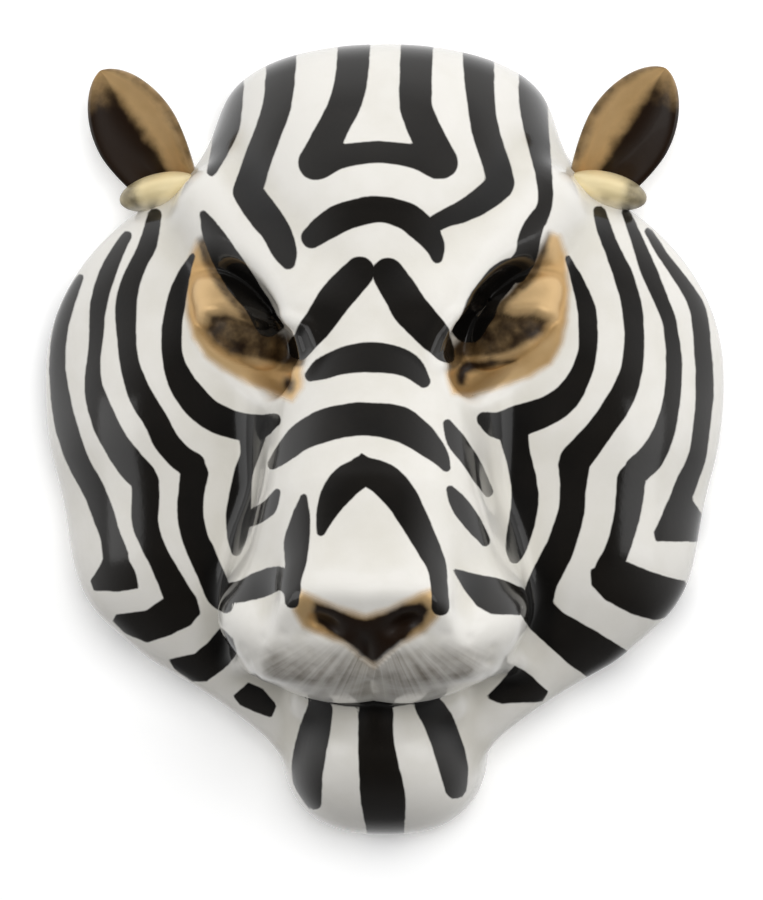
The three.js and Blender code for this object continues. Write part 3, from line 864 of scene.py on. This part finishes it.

# %% [markdown]
# ## Ears
# Each ear is a pinched scoop: a crescent section carried from the root to the tip. Its inner half is
# gilded, its outer half is brown as a painted reflection of the dark in the gold, with a line of painted
# shadow along the inner edge, and its back is white with two black bands. A roll of clay under each ear
# covers the joint with the head. The gold on it is so thin that it is cream, and its outer end is brown as
# painted shadow. The left ear and roll are the right ones mirrored, with the order of their points turned
# round.


# %% Ear
EAR_BASE, EAR_TIP = np.array([100.0, 117, 20]), np.array([138.5, 182, 27])
EAR_FACE = np.array([0.1, -0.1, 1.0])
EAR_HALF, EAR_SCOOP, EAR_THICK, EAR_BOW = 20.5, 18, 9, 4
EAR_WIDEST, EAR_ROUND_FROM = 0.52, 0.86
ROOT_NARROWING, TIP_NARROWING = 0.5, 0.66


def ear_grid(stations=64, sides=80):
    """Rings of the right ear. s runs from root to tip, v = cos(angle) across it.

    The section is the curve (half v, -scoop (1 - v^2)), thickened along its own direction.
    """
    along = EAR_TIP - EAR_BASE
    up = along / np.linalg.norm(along)
    face = EAR_FACE - up * (EAR_FACE @ up)
    face /= np.linalg.norm(face)
    across = np.cross(up, face)
    s = np.sin(np.pi / 2 * np.arange(stations) / stations)[:, None]
    beyond = np.maximum((s - EAR_WIDEST) / (1 - EAR_WIDEST), 0)
    before = np.maximum((EAR_WIDEST - s) / EAR_WIDEST, 0)
    half = EAR_HALF * (1 - beyond**2) ** TIP_NARROWING * (1 - ROOT_NARROWING * before**1.6)
    scoop = EAR_SCOOP * (1 - 0.45 * s) * np.sqrt(1 - s**4)
    rounding = np.maximum((s - EAR_ROUND_FROM) / (1 - EAR_ROUND_FROM), 0)
    thin = EAR_THICK / 2 * np.sqrt(1 - rounding**2)
    angle = 2 * np.pi * np.arange(sides)[None] / sides
    v = np.cos(angle)
    offset = thin * np.sign(np.sin(angle)) * np.abs(np.sin(angle)) ** 0.7
    length = np.hypot(half, 2 * scoop * v)
    sideways = half * v - 2 * scoop * v * offset / length
    forward = -scoop * (1 - v**2) + half * offset / length + EAR_BOW * (1 + np.sin(np.pi * s))
    grid = EAR_BASE + s[..., None] * along + sideways[..., None] * across + forward[..., None] * face
    root = EAR_BASE + (EAR_BOW - EAR_SCOOP / 2) * face
    return root, grid, EAR_TIP + EAR_BOW * face, s + 0 * v, angle + 0 * s


# %% Paint of the ear
EAR_LENGTH = 75
EAR_BANDS, BAND_HALF = (26, 46), 3.2
EAR_GRADE = 12


def ear_fields(s, angle):
    """Fields in millimetres. The gold is inside sin(angle) = -1/4, and the black bands are behind it. The
    brown is the half with cos(angle) > 0, painted as the dark reflection in the gold, and a line of painted
    shadow along the inner edge, where cos(angle) is -1."""
    gilt = (np.sin(angle) + 0.25) * EAR_GRADE
    bands = np.maximum.reduce([BAND_HALF - np.abs(s * EAR_LENGTH - place) for place in EAR_BANDS])
    bands = np.where(gilt < -2, bands, OFF_STROKE)
    # painted reflection: the outer half of the scoop is brown where the gold would mirror the dark
    dark_reflection_half = np.minimum((np.cos(angle) + 0.35 - 0.3 * s) * 8, (0.95 - s) * EAR_GRADE)
    # painted shadow along the inner rim of the scoop
    inner_edge = 0.6 - 14 * (1 + np.cos(angle))
    return {"gold": gilt, "ink": bands, "brown_and_painted_shade": np.clip(np.maximum(dark_reflection_half, inner_edge), -8, 8)}


# %% A ringed piece on either side
def on_side(name, side, start, rings, end, fields):
    """A ringed piece of the right side as it is (side 1), or mirrored to the left (side -1)."""
    flip = np.array([side, 1, 1])
    piece = closed_mesh(name, start * flip, (rings * flip)[:, ::side], end * flip)
    write_ring_fields(piece, **{field: values[:, ::side] for field, values in fields.items()})
    return piece


def make_ear(name, side):
    """An ear with its paint."""
    root, grid, tip, s, angle = ear_grid()
    return on_side(name, side, root, grid, tip, ear_fields(s, angle))


ears = [make_ear("left_ear", -1), make_ear("right_ear", 1)]


# %% Roll under the ear
ROLL_MIDDLE, ROLL_RADII = np.array([110, 122, 28]), (20, 9, 15)
ROLL_TURN = np.radians(-14)
ROLL_GOLD_FROM, ROLL_GOLD_GRADE = -0.8, 5
ROLL_SHADOW_FROM, ROLL_SHADOW_GRADE, ROLL_SHADOW_MOST = 0.5, 9, 0.6


def make_roll(name, side, rings=26, around=48):
    """An ellipsoid in latitude and longitude, a little turned in the face plane.

    Its fields grow with the distance up or outwards from the middle, as a share of the radius: the gold
    upwards, and the brown of painted shadow outwards.
    """
    latitude = np.pi / 2 - np.pi * (np.arange(rings)[:, None] + 1) / (rings + 1)
    longitude = 2 * np.pi * np.arange(around)[None] / around
    outwards = np.cos(latitude) * np.cos(longitude)
    upwards = np.cos(latitude) * np.sin(longitude)
    x, y = ROLL_RADII[0] * outwards, ROLL_RADII[1] * upwards
    z = ROLL_RADII[2] * np.sin(latitude) + 0 * longitude
    turned_x = np.cos(ROLL_TURN) * x - np.sin(ROLL_TURN) * y
    turned_y = np.sin(ROLL_TURN) * x + np.cos(ROLL_TURN) * y
    grid = ROLL_MIDDLE + np.stack([turned_x, turned_y, z], -1)
    top = np.array([0, 0, ROLL_RADII[2]])
    cream = ROLL_GOLD_GRADE * (upwards - ROLL_GOLD_FROM)
    # painted shadow: the outer end of the roll is brown
    roll_shadow = np.minimum(ROLL_SHADOW_GRADE * (outwards - ROLL_SHADOW_FROM), ROLL_SHADOW_MOST)
    fields = {"gold": cream, "brown_and_painted_shade": roll_shadow, "ink": OFF_STROKE + 0 * upwards}
    return on_side(name, side, ROLL_MIDDLE + top, grid, ROLL_MIDDLE - top, fields)


rolls = [make_roll("left_ear_roll", -1), make_roll("right_ear_roll", 1)]
print("ears and rolls:", [len(piece.data.polygons) for piece in ears + rolls])

# %% [markdown]
# ## Web for the hook
# A thin web closes the top of the open back, with a round hole for the hook. It is a ring-shaped solid: its
# section goes from the hole's wall over the front to the outer edge and back underneath, so a grid that is
# closed both ways makes it without any cutting.


# %% Web
def web_outline(angle):
    """Where a ray from the hole's middle meets the web's border: half way into the wall of the shell, or on
    a straight lower edge where that is nearer."""
    ray = np.stack([np.cos(angle), np.sin(angle), 0 * angle], -1)
    middle = np.array([0, HOLE_HEIGHT, WEB_THICKNESS / 2])
    in_wall = outermost(lambda p: plain_head(p) + WALL / 2, np.broadcast_to(middle, ray.shape), ray)
    to_wall = np.linalg.norm(in_wall - middle, axis=-1)
    to_lower_edge = WEB_BELOW_HOLE / np.maximum(-ray[:, 1], 1e-6)
    return ray[:, :2], np.minimum(to_wall, to_lower_edge)


def make_web(around=256):
    """Eight rings round the hole, joined into a closed band."""
    ray, reach = web_outline(2 * np.pi * np.arange(around) / around)
    hole = np.full(around, float(HOLE_RADIUS))
    low_edge, high_edge = WEB_BEVEL, WEB_THICKNESS - WEB_BEVEL
    profile = [(hole, low_edge), (hole + WEB_BEVEL, 0), (reach - WEB_BEVEL, 0), (reach, low_edge),
               (reach, high_edge), (reach - WEB_BEVEL, WEB_THICKNESS),
               (hole + WEB_BEVEL, WEB_THICKNESS), (hole, high_edge)]
    rings = []
    for radius, z in profile:
        across = ray * radius[:, None] + (0, HOLE_HEIGHT)
        rings.append(np.column_stack([across, np.full(around, z)]))
    k = np.arange(around)
    after = (k + 1) % around
    rows = np.arange(len(profile))[:, None] * around
    next_rows = (rows + around) % (len(profile) * around)
    quads = np.stack([rows + k, rows + after, next_rows + after, next_rows + k], -1)
    return new_piece("hook_web", np.concatenate(rings), quads.reshape(-1, 4).tolist())


web = make_web()

# %% [markdown]
# ## Glaze, ink and lustre
# The surface is one sheet of glass with colour in it. So the face has one Principled shader, and masks
# choose its colour, roughness and metal. Groups make the masks, because the ears use them as well:
# one gives a hand-painted edge to a field, one gives the glaze its body, one its ripple.


# %% Node helpers
def new_group(name, inputs, outputs):
    """A shader node group with named float or colour sockets, and its two ends."""
    group = bpy.data.node_groups.new(name, "ShaderNodeTree")
    for socket, value in inputs.items():
        kind = "NodeSocketColor" if isinstance(value, tuple) else "NodeSocketFloat"
        made = group.interface.new_socket(socket, in_out="INPUT", socket_type=kind)
        made.default_value = value
    for socket, kind in outputs.items():
        group.interface.new_socket(socket, in_out="OUTPUT", socket_type=kind)
    return group, group.nodes.new("NodeGroupInput"), group.nodes.new("NodeGroupOutput")


def add(tree, kind, settings=None, **links):
    """A node of a kind: settings are its own properties, links are values or sockets for its inputs."""
    node = tree.nodes.new("ShaderNode" + kind)
    for key, value in (settings or {}).items():
        setattr(node, key, value)
    for key, value in links.items():
        socket = node.inputs[int(key[1:])] if key[1:].isdigit() else node.inputs[key.replace("_", " ")]
        if isinstance(value, bpy.types.NodeSocket):
            tree.links.new(value, socket)
        else:
            socket.default_value = value
    return node


def mixed(tree, factor, a, b):
    """Colour a where the factor is 0 and b where it is 1."""
    return add(tree, "Mix", {"data_type": "RGBA"}, _0=factor, _6=a, _7=b).outputs[2]


def mixed_value(tree, factor, a, b):
    """The same for numbers."""
    return add(tree, "Mix", None, _0=factor, _2=a, _3=b).outputs[0]


def ranged(tree, value, low, high, to_low=0.0, to_high=1.0):
    """A value carried from one range to another, and held at its ends."""
    return add(tree, "MapRange", None, _0=value, _1=low, _2=high, _3=to_low, _4=to_high).outputs[0]


def worked(tree, operation, a, b, clamp=False):
    """The sum, the product or the like of two values."""
    return add(tree, "Math", {"operation": operation, "use_clamp": clamp}, _0=a, _1=b).outputs[0]


def object_noise(tree, scale, detail=2.0):
    """Noise in the object's own metres."""
    place = add(tree, "TexCoord").outputs["Object"]
    return add(tree, "TexNoise", None, Vector=place, Scale=scale, Detail=detail).outputs["Fac"]


def read_field(tree, name):
    """A number that was written on the vertices."""
    return add(tree, "Attribute", {"attribute_name": name}).outputs["Fac"]


# %% Painted edge
def painted_edge_group():
    """Mask of a field in millimetres: the edge wavers with the hand and bleeds a little into the glaze."""
    sockets = {"Field": 0.0, "Waver": 0.5, "Bleed": 0.4}
    group, start, end = new_group("painted edge", sockets, {"Mask": "NodeSocketFloat"})
    given = start.outputs
    slow = worked(group, "SUBTRACT", object_noise(group, 130, 3), 0.5)
    waver = worked(group, "MULTIPLY", worked(group, "MULTIPLY", slow, given["Waver"]), 2.0)
    field = worked(group, "ADD", given["Field"], waver)
    less = worked(group, "MULTIPLY", given["Bleed"], -1.0)
    smooth = {"interpolation_type": "SMOOTHSTEP"}
    mask = add(group, "MapRange", smooth, _0=field, _1=less, _2=given["Bleed"]).outputs[0]
    group.links.new(mask, end.inputs["Mask"])
    return group


# %% Glaze ripple
def ripple_group():
    """Height of the glaze: slow waves where it ran, and the fine pucker of its skin."""
    sockets = {"Waves": 0.6, "Pucker": 0.15}
    group, start, end = new_group("glaze ripple", sockets, {"Height": "NodeSocketFloat"})
    waves = worked(group, "MULTIPLY", object_noise(group, 28, 1), start.outputs["Waves"])
    pucker = worked(group, "MULTIPLY", object_noise(group, 420, 2), start.outputs["Pucker"])
    group.links.new(worked(group, "ADD", waves, pucker), end.inputs["Height"])
    return group


# %% Body of the glaze
def glaze_body_group():
    """Colour of a glaze: deeper where it pooled, paler where it ran thin, with a faint mottle."""
    sockets = {"Thin": (0.8, 0.8, 0.8, 1), "Deep": (0.6, 0.6, 0.6, 1), "Pooled": 0.0}
    group, start, end = new_group("glaze body", sockets, {"Color": "NodeSocketColor"})
    mottle = ranged(group, object_noise(group, 60, 4), 0.3, 0.7, -0.25, 0.25)
    pooled = ranged(group, start.outputs["Pooled"], -0.8, 0.8)
    depth = worked(group, "ADD", pooled, mottle, clamp=True)
    group.links.new(mixed(group, depth, start.outputs["Thin"], start.outputs["Deep"]), end.inputs["Color"])
    return group


PAINTED_EDGE = painted_edge_group()
RIPPLE = ripple_group()
GLAZE_BODY = glaze_body_group()


def use(tree, group, **links):
    """A group placed in a material."""
    node = add(tree, "Group", {"node_tree": group})
    for key, value in links.items():
        if isinstance(value, bpy.types.NodeSocket):
            tree.links.new(value, node.inputs[key])
        else:
            node.inputs[key].default_value = value
    return node.outputs[0]


# %% [markdown]
# ## Colours
# Porcelain white is a little warm. The black is an iron black, brown where it is thin. The lustre is a real
# metal film, so it is the one place where the shader's metal goes up, and it goes up only part of the way,
# because the film is thin and brushed. The lower half of the pads has grey brush marks that fan out from
# under the nose, as fine as hairs, so they are a noise along the angle of the fan and not a shape. The same
# grey also paints the shade low on the pads, and one brown paints shade and dark reflection in the gold.

# %% Palette
WHITE_THIN, WHITE_DEEP = (0.77, 0.75, 0.705, 1), (0.68, 0.655, 0.59, 1)
BLACK_THIN, BLACK_DEEP = (0.009, 0.0075, 0.006, 1), (0.004, 0.0035, 0.003, 1)
GOLD_LIGHT, GOLD_DEEP = (0.78, 0.53, 0.26, 1), (0.60, 0.37, 0.15, 1)
CREAM_LIGHT, CREAM_DEEP = (0.95, 0.82, 0.52, 1), (0.82, 0.67, 0.36, 1)
CLAY_LIGHT, CLAY_DEEP = (0.80, 0.77, 0.70, 1), (0.70, 0.66, 0.57, 1)
# one brown for the leather of the nose and for the painted shade and dark reflection in the gold
UMBER_AND_SHADE_BROWN = (0.012, 0.005, 0.0015, 1)
WHISKER_AND_SHADE_GREY = (0.13, 0.11, 0.085, 1)
GLAZE_ROUGHNESS, LUSTRE_ROUGHNESS, INK_ROUGHNESS = 0.16, 0.38, 0.15


# %% Whisker marks
def whisker_marks_and_shade(tree, pad_marks_and_shade, comb):
    """Fine grey brush marks that fan out over the lower half of the pads, with painted shade that deepens
    down them: noise along the comb angle.
    """
    fine = add(tree, "TexNoise", {"noise_dimensions": "1D"}, W=comb, Scale=1.0, Detail=3.0).outputs["Fac"]
    marks = ranged(tree, fine, 0.3, 0.65, 0.75, 1.05)
    blots = ranged(tree, object_noise(tree, 90, 3), 0.3, 0.7, 0.7, 1.1)
    return worked(tree, "MULTIPLY", worked(tree, "MULTIPLY", marks, blots), pad_marks_and_shade, clamp=True)


# %% Striped and gilded porcelain
def new_material(name):
    """A material, its node tree and its Principled shader."""
    material = bpy.data.materials.new(name)
    material.use_nodes = True
    return material, material.node_tree, material.node_tree.nodes["Principled BSDF"]


def porcelain(name, gold_light=GOLD_LIGHT, gold_deep=GOLD_DEEP, shine=0.6, with_pads=False):
    """The striped and gilded glaze. Its masks come from the fields ink, gold and brown_and_painted_shade,
    and shine is how metallic the gold is where it is neither inked nor brown."""
    material, tree, shader = new_material(name)
    pooled = read_field(tree, "pooled")
    white = use(tree, GLAZE_BODY, Thin=WHITE_THIN, Deep=WHITE_DEEP, Pooled=pooled)
    black = use(tree, GLAZE_BODY, Thin=BLACK_THIN, Deep=BLACK_DEEP, Pooled=pooled)
    lustre = use(tree, GLAZE_BODY, Thin=gold_light, Deep=gold_deep, Pooled=pooled)
    inked = use(tree, PAINTED_EDGE, Field=read_field(tree, "ink"), Waver=0.5, Bleed=0.5)
    gilded = use(tree, PAINTED_EDGE, Field=read_field(tree, "gold"), Waver=0.8, Bleed=2.6)
    # the brown mask: real brown on the leather, and painted shade and dark reflection in the eyes, on the
    # ears and on the rolls
    brown_and_shade_mask = use(tree, PAINTED_EDGE, Field=read_field(tree, "brown_and_painted_shade"), Waver=1.4, Bleed=2.4)
    if with_pads:
        marks = whisker_marks_and_shade(tree, read_field(tree, "pad_marks_and_shade"), read_field(tree, "comb"))
        white = mixed(tree, marks, white, WHISKER_AND_SHADE_GREY)
    gilt = mixed(tree, brown_and_shade_mask, lustre, UMBER_AND_SHADE_BROWN)
    color = mixed(tree, inked, mixed(tree, gilded, white, gilt), black)
    tree.links.new(color, shader.inputs["Base Color"])
    covered = worked(tree, "MAXIMUM", inked, ranged(tree, brown_and_shade_mask, 0, 1, 0, 0.85))
    metal = worked(tree, "MULTIPLY", gilded, ranged(tree, covered, 0, 1, shine, 0))
    tree.links.new(metal, shader.inputs["Metallic"])
    satin = ranged(tree, gilded, 0, 1, GLAZE_ROUGHNESS, LUSTRE_ROUGHNESS)
    tree.links.new(mixed_value(tree, inked, satin, INK_ROUGHNESS), shader.inputs["Roughness"])
    height = use(tree, RIPPLE, Waves=0.7, Pucker=0.12)
    bump = add(tree, "Bump", None, Height=height, Distance=0.0006, Strength=0.6)
    tree.links.new(bump.outputs["Normal"], shader.inputs["Normal"])
    shader.inputs["IOR"].default_value = 1.5
    shader.inputs["Coat Weight"].default_value = 0.1
    shader.inputs["Coat Roughness"].default_value = 0.06
    return material


# %% Bare clay
def bare_clay(name):
    """Unglazed porcelain: white, dry and a little gritty."""
    material, tree, shader = new_material(name)
    body = use(tree, GLAZE_BODY, Thin=CLAY_LIGHT, Deep=CLAY_DEEP, Pooled=0.0)
    tree.links.new(body, shader.inputs["Base Color"])
    grit = object_noise(tree, 1500, 3)
    bump = add(tree, "Bump", None, Height=grit, Distance=0.0002, Strength=0.5)
    tree.links.new(bump.outputs["Normal"], shader.inputs["Normal"])
    shader.inputs["Roughness"].default_value = 0.75
    return material


# %% Dress the pieces
STRIPED = porcelain("striped_porcelain", with_pads=True)
GILT = porcelain("gilt_porcelain", shine=0.35)
CREAM = porcelain("thinly_gilt_porcelain", CREAM_LIGHT, CREAM_DEEP, shine=0.25)
shell.data.materials.append(STRIPED)
for ear in ears:
    ear.data.materials.append(GILT)
for roll in rolls:
    roll.data.materials.append(CREAM)
web.data.materials.append(bare_clay("bare_clay"))

for piece in [shell, web] + ears + rolls:
    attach(piece, "root")
    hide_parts("tiger_mask")
print("dressed", len(bpy.data.materials), "materials")

# %% [markdown]
# ## Studio
# The mask lies on white paper under a large soft light from above, with a weak soft box low on either side
# and a small one beyond the crown. Glaze is a mirror, so each lamp would show in it as a bright patch. Only
# the side boxes are left to show, as a soft sheen on the cheeks. The top lights and the paper are hidden
# from reflections, and the glaze reflects the sky: pale near the horizon, grey overhead, darker below the
# chin. The camera looks down on the mask from a few degrees to its right.

# %% Paper
PAPER_SIZE, PAPER_WHITE, PAPER_GLOW = 6, 0.96, 0.22
bpy.ops.mesh.primitive_plane_add(size=PAPER_SIZE)
paper = bpy.context.object
paper.name = "paper"
paper_material, _, paper_shader = new_material("white_paper")
paper_shader.inputs["Base Color"].default_value = (PAPER_WHITE, PAPER_WHITE, PAPER_WHITE, 1)
paper_shader.inputs["Roughness"].default_value = 0.9
paper_shader.inputs["Emission Color"].default_value = (1, 1, 1, 1)
paper_shader.inputs["Emission Strength"].default_value = PAPER_GLOW
paper.data.materials.append(paper_material)
paper.visible_glossy = False


# %% Lights
def soft_light(name, place, size, power, reflected=True):
    """A square soft box in metres and watts, turned to the mask."""
    lamp = bpy.data.lights.new(name, "AREA")
    lamp.size = size
    lamp.energy = power
    holder = bpy.data.objects.new(name, lamp)
    bpy.context.scene.collection.objects.link(holder)
    gaze = (Vector((0, 0, 0.05)) - Vector(place)).to_track_quat("-Z", "Y")
    holder.matrix_world = Matrix.Translation(place) @ gaze.to_matrix().to_4x4()
    holder.visible_glossy = reflected
    return holder


lights = [
    soft_light("top_light", (0.35, 0.7, 2.8), 1.8, 62, reflected=False),
    soft_light("left_box", (-1.75, -0.05, 1.05), 1.1, 4),
    soft_light("right_box", (1.75, -0.05, 1.1), 1.1, 4),
    soft_light("crown_box", (0.74, 1.60, 0.72), 0.45, 4, reflected=False),
]
print("lights:", [light.name for light in lights])

# %% Sky
ZENITH, HORIZON, BELOW_CHIN = 0.10, 0.95, 0.12
world = bpy.data.worlds.new("studio")
world.use_nodes = True
bpy.context.scene.world = world
sky = world.node_tree
direction = add(sky, "SeparateXYZ", None, Vector=add(sky, "TexCoord").outputs["Generated"]).outputs
rising = ranged(sky, direction["Z"], 0, 0.8, HORIZON, ZENITH)
crownwards = ranged(sky, direction["Y"], -0.75, 0.05, BELOW_CHIN, 1.0)
glow = worked(sky, "MULTIPLY", rising, crownwards)
sky.links.new(glow, sky.nodes["Background"].inputs["Strength"])
sky.nodes["Background"].inputs["Color"].default_value = (1, 1, 1, 1)
bpy.context.scene.view_settings.view_transform = "Standard"

# %% Camera
SENSOR = 36
axes = np.column_stack([right, [0, 1, 0], toward])
camera = bpy.data.objects.new("camera", bpy.data.cameras.new("camera"))
bpy.context.scene.collection.objects.link(camera)
camera.data.sensor_fit = "VERTICAL"
camera.data.sensor_height = SENSOR
camera.data.lens = SENSOR * CAMERA_DISTANCE / FRAME_HEIGHT
camera.matrix_world = Matrix.Translation((AIM + toward * CAMERA_DISTANCE) * MM) @ Matrix(axes).to_4x4()
bpy.context.scene.camera = camera
print("lens", round(camera.data.lens, 1), "mm")
